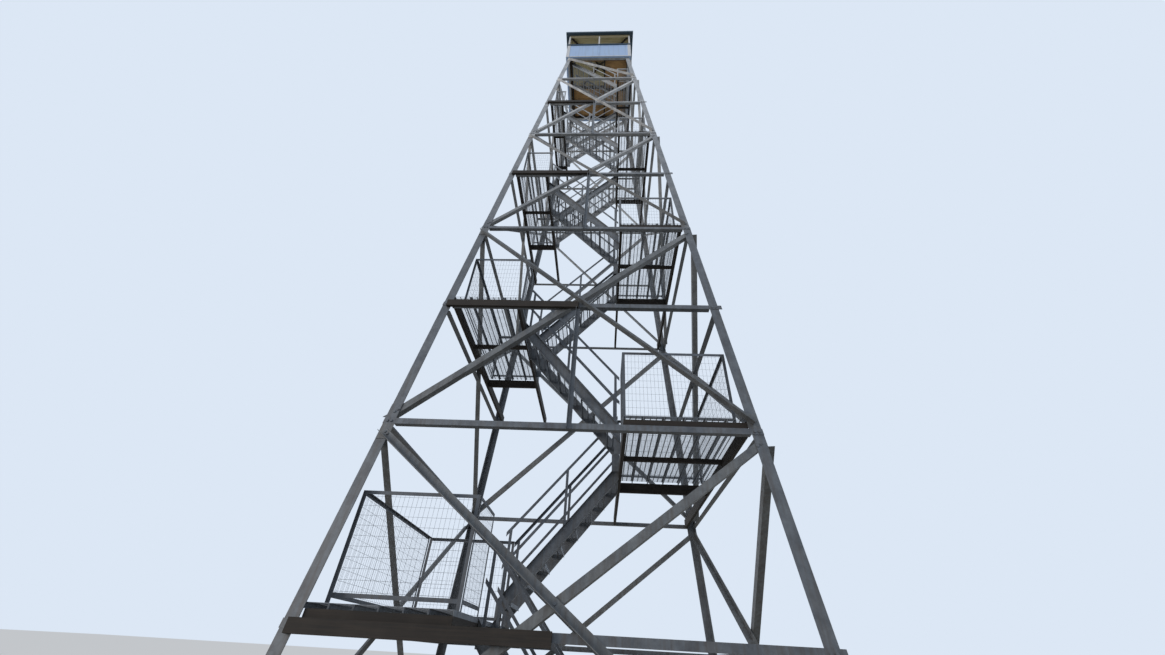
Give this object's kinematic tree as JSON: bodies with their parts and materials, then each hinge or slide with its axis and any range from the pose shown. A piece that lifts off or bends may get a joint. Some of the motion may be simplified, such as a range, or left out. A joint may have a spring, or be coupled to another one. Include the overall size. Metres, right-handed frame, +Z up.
{
  "type": "fire lookout tower",
  "caption": "Tall braced steel tower on four leaning angle legs, with stairs zigzagging between railed landings up to a small square cab with open windows and a low hipped roof.",
  "frame": {"origin": "ground level, in the middle of the four feet", "axes": "+Z up; -Y is the front, the side that the stair lanes stand near; the ground landing is on the -X side"},
  "size_m": [5.696, 5.696, 20.8506],
  "materials": {
    "concrete": "cast concrete, rough",
    "dark_wood": "dark stained timber",
    "galvanised": "galvanised steel, matt",
    "pale_sheet": "pale painted sheet, satin",
    "plywood": "plywood, orange brown",
    "roof_sheet": "dark painted sheet, satin",
    "zinc_grating": "galvanised sheet, dull"
  },
  "bodies": {
    "root": {"footings": "concrete", "foot_plates": "galvanised", "leg_front_left": "galvanised", "leg_front_right": "galvanised", "leg_back_right": "galvanised", "leg_back_left": "galvanised", "girts_front": "galvanised", "girts_right": "galvanised", "girts_back": "galvanised", "girts_left": "galvanised", "braces_front": "galvanised", "braces_right": "galvanised", "braces_back": "galvanised", "braces_left": "galvanised", "landing_beams": "dark_wood", "landing_joists": "dark_wood", "deck_0": "zinc_grating", "deck_1": "zinc_grating", "deck_2": "zinc_grating", "deck_3": "zinc_grating", "deck_4": "zinc_grating", "deck_5": "zinc_grating", "deck_6": "zinc_grating", "deck_7": "zinc_grating", "flight_0": "galvanised", "flight_1": "galvanised", "flight_2": "galvanised", "flight_3": "galvanised", "flight_4": "galvanised", "flight_5": "galvanised", "flight_6": "galvanised", "flight_7": "galvanised", "flight_8": "galvanised", "stair_rails_front": "galvanised", "stair_rails_back": "galvanised", "guards_left": "galvanised", "guards_right": "galvanised", "cab_floor_beams": "dark_wood", "cab_floor_joists": "dark_wood", "cab_floor": "plywood", "cab_walls": "pale_sheet", "cab_posts": "pale_sheet", "cab_heads": "pale_sheet", "rafters": "dark_wood", "roof": "roof_sheet"}
  },
  "joints": []
}
